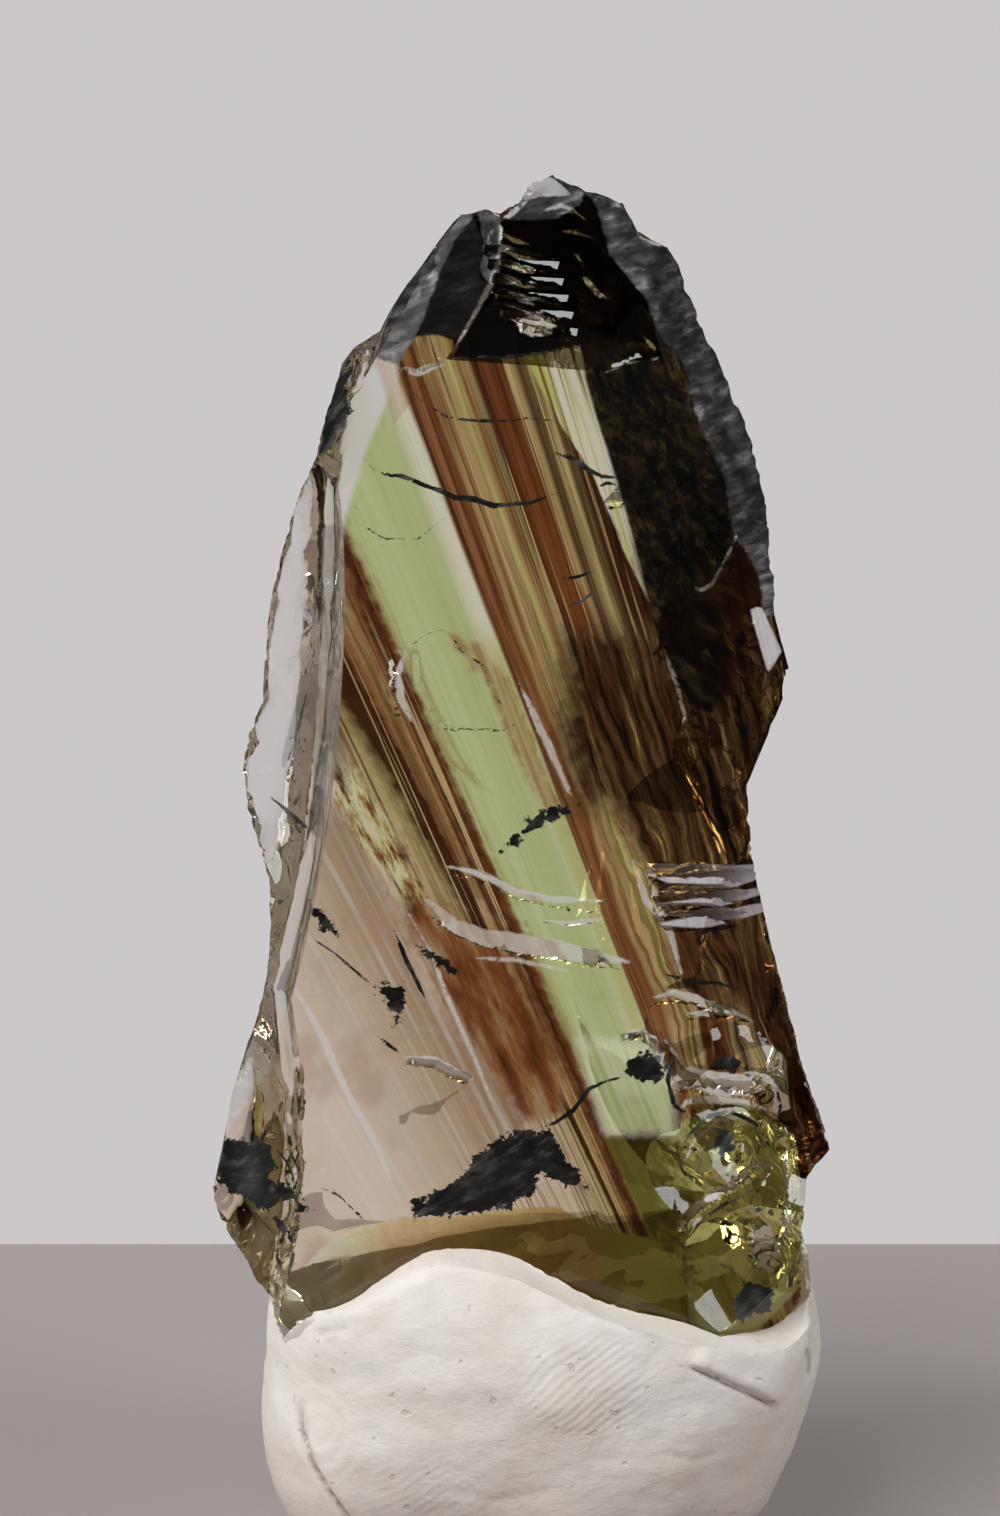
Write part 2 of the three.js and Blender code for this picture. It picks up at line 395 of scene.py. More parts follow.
def inside(x, z, outline):
    """Distance from a closed outline in the front view, positive inside it."""
    outline = [*outline, outline[0]]
    distance, _ = from_line(x, z, outline)
    within = np.zeros(len(x), dtype=bool)
    for (xa, za), (xb, zb) in zip(outline[:-1], outline[1:]):
        crosses = (za > z) != (zb > z)
        within ^= crosses & (x < xa + (z - za) * (xb - xa) / ((zb - za) or 1e-9))
    return np.where(within, 1, -1) * np.abs(distance)


# Small ledges of the front: a line along the ledge's foot from left to right, how tall its bright slope
# is, and how far its foot stands out.
LEDGES = [
    ([(-4.3, 46.5), (-2.8, 46.3), (-1.5, 45.8), (0, 45.0), (2, 44.6), (5, 44.2)], 0.55, 0.26),
    ([(-5.4, 44.0), (-3.8, 42.8), (-2, 42.1), (0, 41.7), (2, 41.4), (4, 41.0), (6.4, 40.7)], 1.15, 0.52),
    ([(1.5, 43.6), (3, 43.4), (5.2, 43.7)], 0.4, 0.16),
    ([(-6.9, 34.7), (-5, 34.5), (-4, 33.9), (-2.8, 33.5)], 0.5, 0.3),
    ([(8.2, 38.5), (9.5, 38.7), (10.8, 38.4), (12.2, 37.8), (13.2, 37.5)], 0.45, 0.25),
    ([(10.2, 37.5), (12, 37.5), (13.4, 37.2), (14.5, 36.6)], 0.5, 0.3),
    ([(6.2, 36.3), (7.5, 36.5), (8.7, 35.9)], 0.4, 0.22),
    ([(10.6, 30.7), (12.3, 31.1), (13.6, 31.1), (14.7, 30.6), (15.6, 30.1)], 0.6, 0.34),
    ([(10.0, 24.2), (11, 25.2), (12.2, 26.0), (13.6, 26.8), (14.6, 27.4), (15.4, 27.6)], 0.6, 0.36),
    ([(9.4, 33.0), (10.8, 33.4), (12.4, 32.9), (14.2, 32.4), (15.4, 32.6)], 0.6, 0.3),
    ([(-7.0, 76.9), (-6.0, 76.8), (-4.4, 77.4)], 0.5, 0.26),
    ([(-0.2, 79.2), (1.0, 78.9), (2.9, 79.2)], 0.9, 0.4),
    ([(5.2, 77.0), (6.2, 77.3), (7.4, 77.8), (8.4, 77.7)], 0.35, 0.2),
    ([(-5.2, 55.5), (-3, 55.4), (-0.3, 55.4)], 0.3, 0.12),
    ([(-7.2, 56.0), (-7.5, 58.0), (-7.1, 60.2)], 0.5, 0.3),
]
# Cracks: a line, and how wide it gapes in the middle.
CRACKS = [
    ([(-9.3, 71.9), (-8.6, 71.1), (-7.6, 70.8), (-7, 70.8), (-5.5, 70.2), (-4.6, 69.9), (-3.8, 69.5),
      (-2.6, 69.4), (-1.4, 69.0), (-0.4, 69.1), (0.8, 69.2), (2.4, 69.8)], 0.34),
    ([(-6.5, 76), (-5.3, 75), (-4.4, 74.4), (-3.4, 74.2), (-2, 74.1), (-0.5, 74.1), (0.8, 74.3),
      (2.1, 74.1)], 0.16),
    ([(2.2, 72.2), (3.4, 71.8), (4.2, 71.2), (5, 70.8), (6.2, 70.7)], 0.3),
    ([(4.9, 70.2), (5.4, 70.4), (6.2, 70.2)], 0.2),
    ([(5.2, 69.0), (6, 68.8), (6.8, 69.5)], 0.2),
    ([(2.6, 64.6), (3.6, 64.7), (4.6, 65.1)], 0.16),
    ([(3.0, 62.9), (4, 63.3), (4.7, 64.0)], 0.2),
    ([(6.6, 34.0), (5.2, 33.6), (4.4, 33.2), (3.4, 31.8), (2.2, 31.0), (0.8, 30.6)], 0.3),
    ([(-9.9, 69.2), (-9, 67.6), (-8, 67), (-6, 67), (-4.3, 68.3)], 0.09),
    ([(-14.2, 28.0), (-13.6, 27.0), (-13.0, 25.8)], 0.2),
    ([(-15.2, 27.9), (-14.4, 27.2), (-14.0, 26.2)], 0.16),
    ([(-17.3, 24.0), (-16.2, 23.2), (-15.4, 22.4)], 0.16),
    ([(-12.4, 27.0), (-11, 26.4), (-9.8, 25.2), (-9.1, 24.5)], 0.14),
    ([(-15.4, 50.3), (-14.2, 49.4), (-12.7, 48.4)], 0.3),
    ([(-14.6, 48.9), (-13.7, 48.6), (-13.0, 47.7)], 0.2),
    ([(-12.4, 42.4), (-11.2, 41.6), (-9.6, 40.2), (-8.6, 39.4)], 0.18),
    ([(-7.6, 43.2), (-6.7, 41.0), (-5.6, 38.7)], 0.3),
    ([(-8.5, 36.4), (-7.8, 35.8), (-7.2, 35.4)], 0.2),
    ([(-6.75, 59.2), (-6.4, 60.5), (-5.6, 61.2), (-4.6, 61.5), (-3.9, 61.0), (-3.4, 60.2), (-2, 59.25),
      (-1.7, 57.7), (-0.6, 56.6), (-0.2, 55.6)], 0.07),
    ([(-3.9, 78.0), (-1, 77.9), (1.6, 78.2), (3.6, 78.6)], 0.16),
    ([(9.6, 35.4), (9.2, 33.8), (9.6, 32.2), (10.8, 31.4)], 0.3),
    ([(10.2, 29.6), (11.4, 31.2), (13.0, 31.4), (14.8, 30.4), (15.9, 28.6)], 0.26),
    ([(10.4, 23.7), (11.4, 24.9), (13.0, 25.9), (15.0, 26.8)], 0.2),
    ([(8.8, 40.4), (10.4, 40.0), (12.4, 39.5), (13.6, 38.9)], 0.24),
    ([(15.8, 33.6), (16.3, 31.6), (16.1, 29.4)], 0.2),
    ([(-12.9, 57.4), (-13.6, 54.6), (-14.3, 52.4)], 0.14),
]
# Pale lines, each a line and its width: pale glass where a flake has come off the coloured skin or a fracture
# lies open inside, and painted highlights along the ribs, ledges, crescent, bulb arcs and peak.
PALE_LINES = [
    ([(-4.4, 47.0), (-2.8, 46.7), (-1.5, 46.2), (0, 45.4), (2, 45.0), (5.2, 44.9)], 0.5),
    ([(-5.6, 45.0), (-3.8, 43.3), (-2, 42.6), (0, 42.3), (2, 42.0), (4, 41.6), (6.8, 41.1)], 1.15),
    ([(-2.6, 41.3), (0, 41.2), (3.2, 40.5)], 0.3),
    ([(1.5, 43.7), (3, 43.5), (5.2, 43.8)], 0.35),
    ([(7.0, 47.4), (7.8, 45), (9.3, 43), (10, 40.4)], 0.5),
    ([(-6.7, 60.3), (-7.2, 58.8), (-7.1, 57.3), (-6.3, 55.7)], 0.5),
    ([(0.1, 58.2), (1.8, 54.6), (3.4, 51.0)], 0.5),
    ([(-6.9, 35.1), (-5, 34.9), (-4, 34.3), (-2.7, 33.8)], 0.55),
    ([(-14.2, 40.4), (-12.2, 36.9), (-10.4, 32.8), (-8.6, 29.4), (-7.3, 26.2)], 0.5),
    ([(-6.6, 44.0), (-5.2, 41.5), (-4.4, 39.2), (-2.4, 34.6), (-1.2, 31.2)], 0.28),
    ([(8.2, 38.9), (9.5, 39.2), (10.8, 38.8), (12.2, 38.1), (13.4, 37.6)], 0.55),
    ([(10.2, 37.8), (12, 37.8), (13.4, 37.5), (14.6, 36.8)], 0.4),
    ([(6.2, 36.6), (7.5, 36.8), (8.8, 36.1)], 0.35),
    ([(8.9, 36.4), (9.7, 35.2), (9.9, 33.9)], 0.3),
    ([(9.0, 33.2), (10.6, 33.9), (12.4, 33.2), (14.2, 32.9), (16.0, 33.4)], 1.5),
    ([(9.2, 31.4), (10.4, 32.3), (12.2, 32.2), (14.0, 31.8), (15.8, 31.2)], 0.5),
    ([(14.8, 36.2), (15.9, 34.0), (16.3, 31.0)], 0.5),
    ([(10.2, 28.2), (10.9, 29.8), (12.3, 30.8), (14.0, 30.8), (15.2, 29.6)], 0.28),
    ([(9.8, 24.2), (11, 25.6), (12.2, 26.4), (13.6, 27.2), (14.6, 27.8), (15.6, 28.1)], 0.55),
    ([(11.6, 27.2), (12.8, 27.9), (14.2, 28.6)], 0.3),
    ([(16.5, 30.6), (16.7, 27), (16.5, 22.4)], 0.4),
    ([(-1.1, 85.4), (-0.2, 84.8), (0.9, 84.6)], 0.26),
    ([(-1.1, 84.5), (-0.1, 83.9), (1.1, 83.7)], 0.3),
    ([(-1.1, 83.7), (0.0, 83.1), (1.2, 82.9)], 0.36),
    ([(-1.0, 82.8), (0.2, 82.2), (1.4, 82.1)], 0.36),
    ([(-0.8, 81.9), (0.3, 81.4), (1.6, 81.4)], 0.34),
    ([(-0.6, 81.0), (0.6, 80.5), (1.8, 80.6)], 0.3),
    ([(-0.1, 79.9), (0.9, 79.6), (2.2, 79.7)], 0.95),
    ([(-1.6, 86.6), (-0.9, 85.8), (-1.0, 84.6), (-1.3, 83.0), (-2.4, 80.8), (-3.9, 78.1)], 0.3),
    ([(0.0, 87.3), (1.4, 88.1), (3.1, 87.6)], 1.1),
    ([(1.4, 86.6), (2.6, 86.9), (3.6, 86.6)], 0.3),
    ([(-1.0, 86.0), (-0.2, 86.6), (0.6, 87.2)], 0.4),
    ([(2.6, 85.4), (3.6, 85.3), (4.6, 84.9)], 0.2),
    ([(2.8, 84.2), (3.6, 83.9), (4.1, 83.0)], 0.18),
    ([(4.0, 82.6), (4.8, 81.7), (5.6, 81.4)], 0.34),
    ([(2.4, 86.4), (3.4, 86.6), (4.2, 86.1)], 0.2),
    ([(5.3, 77.0), (6.25, 77.5), (7.4, 77.8), (8.5, 77.9)], 0.18),
    ([(7.5, 79.2), (7.9, 78.7), (8.3, 78.3)], 0.2),
    ([(10.0, 64.9), (10.9, 63.9), (11.7, 64.3), (12.5, 65.8), (13.2, 67.4)], 0.22),
    ([(8.8, 60.4), (9.6, 58.2), (10.2, 55.8)], 0.3),
    ([(-7.2, 77.2), (-6.0, 76.9), (-4.4, 77.5)], 0.4),
]
# Milky bars at the right edge, painted reflections of the soft lights off the ripples there: a line, its
# width.
MILKY_LINES = [
    ([(7.9, 46.7), (10.6, 46.4), (12.6, 46.3), (16.0, 46.6)], 1.5),
    ([(8.4, 44.6), (12, 44.8), (16.2, 45.3)], 0.7),
    ([(8.8, 43.5), (12.5, 43.7), (16.6, 44.3)], 0.8),
]
# The tongue: a scar whose rim steps down softly.
TONGUE = [
    (-5.0, 55.6), (-6.2, 58.2), (-6.4, 60.2), (-5.9, 61.0), (-5.1, 61.4), (-4.4, 61.3), (-3.8, 60.8),
    (-2.8, 60.1), (-1.5, 59.2), (-0.9, 57.4), (-0.4, 55.7), (0.6, 53.2), (1.4, 50.8), (0.2, 50.2),
    (-2.4, 51.8), (-4.0, 53.6),
]
HACKLED_BEVEL = [
    (4.3, 88.2), (5.2, 85.5), (5.6, 84.0), (6.6, 82.7), (7.6, 81.5), (8.2, 80.3), (8.7, 79.0), (9.6, 78.2),
    (10.2, 77.0), (10.6, 75.0), (11.3, 73.0), (12.0, 72.0), (12.5, 70.5), (12.7, 68.5), (13.0, 67.2),
    (13.8, 66.3), (14.6, 64.5), (14.8, 62.4), (22, 62.4), (22, 92), (4.4, 92),
]
FLANGE = [
    (-7.2, 76.8), (-9.2, 72.0), (-9.9, 69.8), (-10.5, 67.8), (-11.0, 63.0), (-11.0, 60.0), (-11.0, 57.0),
    (-11.4, 53), (-12.3, 50.0), (-12.6, 47.0), (-12.9, 44.0), (-13.6, 40.0), (-14.4, 37.0), (-15.5, 33.0),
    (-17.0, 30.5), (-18.4, 28.6), (-24, 28), (-24, 84), (-8, 84),
]
HACKLED = [
    HACKLED_BEVEL,
    [(-3.8, 86.6), (-2.8, 87.2), (-2.7, 86.2), (-3.9, 84.6), (-4.8, 82.6), (-5.6, 80.4), (-6.2, 79.0),
     (-7.2, 77.4), (-8.6, 77.8), (-7.2, 81.6), (-5.4, 84.8)],
    [(-2.4, 86.6), (-1.0, 86.4), (-1.1, 83.8), (-1.5, 82.2), (-2.2, 82.8), (-2.0, 84.6)],
    [(-0.9, 86.2), (0.4, 88.2), (2.6, 89.6), (4.2, 88.2), (3.8, 87.0), (2.4, 86.2), (0.6, 86.0)],
]
BULB = [
    (8.6, 35.4), (10.0, 38.4), (13.6, 38.4), (16.2, 35.5), (16.8, 31), (16.6, 23), (12.6, 22.6), (9.4, 26),
    (8.6, 31),
]
BULB_EYE = (13.2, 29.4)


def ledge_relief(x, z):
    relief = np.zeros(len(x))
    for line, width, height in LEDGES:
        above, way = from_line(x, z, line)
        fade = ramp(way, 0, 0.12) * ramp(way, 1.0, 0.85)
        relief += height * fade * np.clip(1 - above / width, 0, 1) * (above > 0)
    return relief


def hackle_relief(points):
    """Torn ridges across the bevels of the top, which run up to the right."""
    x, y, z = points.T
    turned = np.stack([x + 0.3 * z, y, z - 0.3 * x], 1)
    torn = 0.26 * np.abs(rough(turned, (4.2, 4.2, 1.3), 3)) + 0.1 * rough(turned, (2, 2, 0.7), 4)
    near = np.max([inside(x, z, outline) for outline in HACKLED], axis=0)
    return torn * ramp(near, -0.15, 0.5)


def bulb_relief(points):
    """Ridges that curl around the eye of the lower right."""
    x, y, z = points.T
    near = ramp(inside(x, z, BULB), -0.2, 1.0)
    radius = np.hypot(x - BULB_EYE[0], (z - BULB_EYE[1]) * 0.8)
    angle = np.arctan2(z - BULB_EYE[1], x - BULB_EYE[0])
    turns = radius * 0.36 + angle * 0.22 + 0.4 * rough(points, (3.6, 3.6, 3.6), 6)
    return near * (0.11 * np.sin(turns * math.tau) + 0.03 * rough(points, (1.6, 1.6, 1.6), 7))


def seen_height(y, z):
    """How high a place looks in the front view, on a plane 8 mm before the shard's zero."""
    return z + 0.07 * (y + 8)


# A grid of the front view: its squares a millimetre, how many there are, and where it starts on the left.
SQUARES_PER_MM = 4
GRID = (200, 380)
GRID_LEFT = -25


def cells(x, z):
    """The squares of the grid that hold these places."""
    column = ((x - GRID_LEFT) * SQUARES_PER_MM).astype(int)
    row = (z * SQUARES_PER_MM).astype(int)
    return np.clip(column, 0, GRID[0] - 1), np.clip(row, 0, GRID[1] - 1)


def squares_near(lines):
    """Which of the squares lie along the edges of these lines, each with its width."""
    found = np.zeros(GRID, bool)
    for line, width in lines:
        for a, b in zip(np.array(line[:-1], dtype=float), np.array(line[1:], dtype=float)):
            length = np.linalg.norm(b - a)
            way = np.linspace(0, 1, int(length * 8) + 2)[:, None]
            aside = np.array([a[1] - b[1], b[0] - a[0]]) / length
            for edge in (-width / 2, width / 2):
                for shift in (edge - 0.15, edge + 0.15):
                    found[cells(*(a + (b - a) * way + aside * shift).T)] = True
    return found


# How long edges may be, in millimetres.
FINEST, FINE, COARSE = 0.3, 0.64, 1.5
sharp_feet = [(line, 0) for line, _, _ in LEDGES] + [(TONGUE + TONGUE[:1], 0)]
detailed = squares_near(CRACKS + PALE_LINES + MILKY_LINES + sharp_feet)


def wanted_edge(middles):
    """Short edges in front, and the shortest along the cracks, ledges and pale lines."""
    x, y, z = middles.T
    front = np.where(detailed[cells(x, seen_height(y, z))], FINEST, FINE)
    return np.where(y > -1.0, COARSE, front)


# Breaks meet at more than this many degrees, and the flats of one break at less.
BREAK_CREASE = 11
points, triangles = read_mesh("crystal")
for shortest in (4.0, 1.6, 0.8, FINEST):
    triangles = even_out(points, triangles, BREAK_CREASE)
    points, triangles = split_long_edges(points, triangles, shortest, wanted_edge)
points = soften(points, triangles, BREAK_CREASE, 12)
normals = corner_normals(points, triangles)
x, y, z = points.T
on_front = ramp(-normals[:, 1], 0.25, 0.6)
on_rim = ramp(np.abs(normals[:, 1]), 0.75, 0.3)
waves = 0.05 * rough(points, (7, 7, 11), 1) + 0.02 * rough(points, (2.4, 2.4, 3.4), 2)
# Small bites with points between them, along the outer edges alone.
outer = ramp(np.abs(inside(x, z, FLANGE)), 0.9, 1.8)
chips = 0.34 * np.abs(rough(points, (2.2, 2.2, 2.2), 5)) + 0.12 * np.abs(rough(points, (0.8, 0.8, 0.8), 8))
chips *= -on_rim * outer
carved = ledge_relief(x, z) + hackle_relief(points) + bulb_relief(points)
carved -= 0.16 * ramp(inside(x, z, TONGUE), -0.1, 0.6)
points = points + normals * (waves + chips + on_front * carved)[:, None]


def make_piece(name, points, triangles, sharp_deg):
    mesh = bpy.data.meshes.new(name)
    mesh.from_pydata(((points + ZERO) * MM).tolist(), [], triangles.tolist())
    mesh.polygons.foreach_set("use_smooth", [True] * len(triangles))
    mesh.set_sharp_from_angle(angle=math.radians(sharp_deg))
    mesh.update()
    piece = bpy.data.objects.new(name, mesh)
    scene.collection.objects.link(piece)
    return piece


crystal = make_piece("crystal_glass", points, triangles, 24)

# What lies where in the front view. The material reads each as a distance in millimetres, positive inside.
ZONES = {
    # The top: near-black painted shade, where dark surroundings and inner reflections blacken the glass.
    "top": [
        (-9.0, 78.4), (-7.4, 78.3), (-6.0, 79.1), (-4.8, 79.2), (-3.9, 78.9), (-3.8, 77.9), (-1.0, 77.8),
        (1.0, 78.1), (3.6, 78.7), (6.0, 79.0), (9.2, 78.4), (14, 78), (14, 92), (-9, 92),
    ],
    # The dark zone: dark brown glass, with painted shade that takes it to near black.
    "dark": [
        (3.8, 78.8), (4.1, 76.5), (4.8, 74.0), (5.6, 71.6), (6.6, 68.5), (7.1, 66.3), (7.6, 64.3),
        (8.2, 62.0), (8.9, 60.5), (9.6, 58.6), (10.3, 57.0), (11.5, 56.5), (12.8, 58.0), (12.5, 60.0),
        (12.4, 62.5), (11.4, 63.9), (12.3, 65.3), (12.9, 67.0), (13.4, 70.0), (12.0, 74.0), (11.0, 78.0),
        (9, 82), (4, 82),
    ],
    "flange": FLANGE,
    "ridge": [
        (-12.0, 67.4), (-10.6, 67.9), (-11.0, 63.0), (-11.0, 60.0), (-10.9, 57.0), (-10.4, 54.0),
        (-9.8, 50.4), (-10.6, 51.6), (-11.6, 54.6), (-12.0, 47.6), (-12.6, 50.4), (-12.7, 55.0),
        (-13.2, 55.4), (-14.6, 51.9), (-14.6, 53.0), (-13.5, 57.0), (-12.9, 59.8), (-12.3, 63.0),
    ],
    "rose": [
        (-11.4, 51), (-9.6, 49.5), (-8.6, 46.5), (-6.6, 42.6), (-5.8, 39.6), (-3.4, 36.4), (-1.0, 34.0),
        (1.0, 30.5), (-6, 24), (-14, 20), (-22, 20), (-22, 34), (-13.6, 46),
    ],
    "crackle": [
        (-11.6, 53.5), (-9.6, 52.6), (-7.8, 49.4), (-6.6, 47.2), (-5.4, 45.0), (-5.4, 43.8), (-6.2, 44.0),
        (-7.4, 45.4), (-8.8, 47.4), (-10.6, 50.0),
    ],
    "umber": [
        (-7.0, 46.0), (-4.6, 43.6), (-1.4, 42.4), (0.6, 38.6), (3.0, 33.6), (2.6, 31.4), (0.4, 31.2),
        (-1.6, 34.0), (-4.4, 38.6), (-6.4, 42.6),
    ],
    "fibre": [
        (2.8, 61.5), (8.4, 61.5), (9.6, 58.2), (12.0, 56.4), (12.4, 62.0), (14.6, 63.5), (17, 58), (14.2, 52),
        (15.8, 44), (18.6, 33), (17.2, 33.4), (16.2, 35.6), (14.6, 37.2), (10.2, 39.2), (9.6, 43.4),
        (8.2, 47.6), (5.4, 50.6), (3.6, 50.4), (2.6, 55.0),
    ],
    "pool": [
        (5.2, 30.3), (9.8, 30.3), (10.2, 31.2), (14.0, 31.8), (17.2, 29.6), (18, 20), (14, 16), (9, 22.5),
    ],
    "wedge": [
        (0.4, 78.0), (1.4, 76.0), (2.5, 74.0), (4.5, 70.9), (5.5, 68.6), (6.5, 66), (7.3, 64.4), (8.3, 62.4),
        (7.8, 65.6), (7.0, 69), (6.2, 71.0), (5.0, 74.2), (4.2, 76.6), (3.7, 78.6), (2.2, 78.3),
    ],
    "slate": [
        (-2.7, 86.2), (-2.0, 84.6), (-2.3, 82.6), (-1.5, 82.0), (-2.6, 80.2), (-3.4, 79.0), (-4.8, 79.2),
        (-6.1, 79.2), (-5.6, 80.4), (-4.8, 82.6), (-3.9, 84.6),
    ],
    # The tongue's right rim: brown, partly painted shade of the step.
    "fringe": [
        (-4.0, 61.1), (-2.4, 60.5), (-0.7, 58.5), (0.5, 55.8), (1.6, 52.6), (2.7, 50.4), (1.6, 50.4),
        (0.3, 53.2), (-0.9, 56.0), (-1.6, 57.8), (-2.9, 59.6),
    ],
    "meadow": [(3.6, 36.4), (6.0, 36.2), (8.4, 35.8), (9.4, 33.6), (9.8, 30.4), (5.4, 30.4)],
    "foot": [
        (-16, 19.3), (-14.2, 20.6), (-13.0, 22.0), (-11.5, 23.6), (-10.0, 24.3), (-8.0, 24.8), (-6.5, 25.0),
        (-3.0, 25.0), (0.0, 25.4), (2.4, 25.6), (5.0, 24.4), (8.4, 23.8), (10.4, 21.6), (11, 10), (-16, 10),
    ],
}
MILKY_CORNER = [[(14, 62.75), (14.6, 63.1), (15.9, 60.25), (15.1, 58.9)]]
# Flake marks that are wider than a line.
PALE = [
    *MILKY_CORNER,
    [(14.4, 24.2), (15.6, 24.5), (16.3, 22.5), (15.6, 20.8), (14.7, 21.8)],
    [(-10.3, 75.6), (-9.9, 77.2), (-9.1, 77.7), (-9.3, 76.2)],
    [(15.4, 35.4), (16.6, 34.6), (16.9, 31.4), (16.0, 31.0), (15.5, 33.4)],
    [(-0.1, 80.2), (1.0, 80.4), (2.0, 79.9), (2.1, 79.3), (0.8, 79.1)],
]
# Soot-black inclusions.
PATCHES = [
    [(-6.5, 25.1), (-6.4, 26.1), (-5, 26.7), (-3.5, 27.6), (-3, 28.4), (-2, 29.5), (-1, 30.2), (0.5, 30.6),
     (2, 30.4), (3, 29), (4.3, 27), (3, 27), (1.5, 27.8), (0.8, 26.2), (-0.5, 25.6), (-2, 25.2), (-4, 25.1)],
    [(-19.6, 26.5), (-18.6, 28.2), (-17, 28), (-16, 28.6), (-15.4, 27.8), (-15.2, 26.8), (-15.6, 25.9),
     (-13.1, 25.7), (-12.6, 25.4), (-14, 25), (-15, 24.7), (-16.2, 23.6), (-16.9, 24.4), (-18.4, 24.6)],
    [(-9.6, 78.2), (-10.5, 77.4), (-11.4, 76), (-12, 74), (-12.6, 72.0), (-11.5, 72), (-10.8, 73.2),
     (-10, 74.3), (-10.5, 75.6), (-10.2, 77)],
    [(-15.8, 23.9), (-14.8, 23.3), (-13.9, 22.5), (-14.6, 22.6), (-15.6, 23.3)],
    [(-8.8, 39.6), (-7.0, 39.6), (-6.9, 38.5), (-7.4, 37.0), (-7.8, 38.2)],
    [(-12.7, 44.4), (-11.6, 44.0), (-11.2, 42.8), (-12.0, 43.0)],
    [(-6.0, 42.0), (-4.8, 41.4), (-3.6, 40.3), (-4.8, 40.8)],
    [(6.5, 34.2), (7.0, 35.0), (8.0, 35.7), (8.8, 35.1), (9.0, 34.2), (8.4, 33.7), (7.4, 33.8)],
    [(12.0, 34.3), (12.6, 35.1), (13.6, 34.7), (14.2, 34.0), (13.5, 33.8), (12.5, 34.0)],
    [(12.0, 29.2), (12.6, 30.3), (13.4, 30.0), (13.3, 29.0), (12.6, 28.6)],
    [(13.2, 19.6), (14.5, 20.5), (16.2, 20.3), (15.8, 18.6), (14.0, 18.2)],
    [(-0.9, 47.9), (0.2, 48.6), (0.8, 49.3), (1.4, 49.5), (2.4, 50.0), (3.8, 50.7), (2.6, 50.7), (1.6, 50.5),
     (0.9, 50.2), (0.4, 49.6), (-0.2, 48.8)],
]


def lay(piece, name, values):
    """Gives each corner of a piece a value, which its material reads by this name."""
    layer = piece.data.attributes.new(name, "FLOAT", "POINT")
    layer.data.foreach_set("value", np.asarray(values, dtype=np.float32))


def gape(x, z, line, width):
    """Distance into a line that is as wide as this in its middle and runs out at both ends."""
    distance, way = from_line(x, z, line)
    return width * 0.5 * np.sin(np.pi * np.clip(way, 0.02, 0.98)) ** 0.6 - np.abs(distance)


v = seen_height(y, z)
lay(crystal, "front", on_front)
lay(crystal, "facing", ramp(-normals[:, 1], -0.05, 0.15))
for name, outline in ZONES.items():
    lay(crystal, name, inside(x, v, outline))
for name, outlines, lines in (
    ("torn", HACKLED, []), ("patch", PATCHES, []), ("crack", [], CRACKS),
    ("milky", MILKY_CORNER, MILKY_LINES), ("pale", PALE, PALE_LINES),
):
    depths = [gape(x, v, line, width) for line, width in lines]
    depths += [inside(x, v, outline) for outline in outlines]
    lay(crystal, name, np.max(depths, axis=0))

material, nodes = new_material("flow_glass")
spot = nodes.add("ShaderNodeTexCoord", out=3)


def axis_mm(i):
    """Places along an axis, in millimetres from the shard's own zero."""
    return nodes.add("ShaderNodeSeparateXYZ", out=i, Vector=spot) / MM - float(ZERO[i])


def noise_of(a, b, c, scale=1.0, detail=3.0, roughness=0.5):
    vector = nodes.add("ShaderNodeCombineXYZ", X=a, Y=b, Z=c)
    return nodes.add("ShaderNodeTexNoise", Vector=vector, Scale=scale, Detail=detail, Roughness=roughness)


def mix(factor, a, b, how="MIX"):
    settings = {"data_type": "RGBA", "blend_type": how}
    return nodes.add("ShaderNodeMix", settings, out=2, in_0=factor, in_6=a, in_7=b)


def reading(name):
    return nodes.add("ShaderNodeAttribute", {"attribute_name": name}, out=2)


# The light of the room that clear glass of this thickness lets through.
SEEN_THROUGH_CLEAR = (0.507, 0.483, 0.467)


def tone(red, green, blue):
    """The glass colour that shows as this one in front of the pale room."""
    return tuple(min(0.97, seen / room) for seen, room in zip(srgb(red, green, blue), SEEN_THROUGH_CLEAR))


MINT = tone(190, 196, 160)
GREEN = tone(156, 162, 112)
LIGHT_GREEN = tone(164, 172, 124)
LEAF = tone(158, 152, 92)
HONEY = tone(148, 128, 84)
BROWN = tone(122, 82, 50)
RUST = tone(98, 54, 26)
DARK_BROWN = tone(50, 24, 8)
ROSE = tone(182, 162, 146)
# BLACK also paints the shade of the top and of the dark zone.
BLACK = tone(10, 6, 3)
CLEAR = (0.97, 0.96, 0.95)

# The flow lines fan out towards the top left: flow is the same all along one of them. Each millimetre down
# takes them this far to the right, and draws them together by this share of their distance.
LEAN = 0.343
FAN = 0.00723
x, y, z = axis_mm(0), axis_mm(1), axis_mm(2)
v = seen_height(y, z)
down = 70 - v
flow = (x - LEAN * down) / (1 - FAN * down)
ragged = noise_of(x, v, y, scale=1.3, detail=4.0) - 0.5
sway = (noise_of(flow * 0.35, down * 0.05, y * 0.05) - 0.5) * 0.9
# The lower right swirled as it set, and the left bands' edges are feathered.
swirled = (noise_of(x * 0.28, v * 0.15, y * 0.1) - 0.5) * 3.2 * down.step(5, 22) * flow.step(-4.8, -2.0)
feathered = (noise_of(x * 1.1 + v * 0.5, v * 1.3, y * 0.2, detail=2.0) - 0.5) * 1.1 * flow.step(-10.6, -11.6)
strand = flow + swirled
stripe = strand + feathered + sway - (62 - v) * 0.14 * flow.step(-12.8, -14.5)

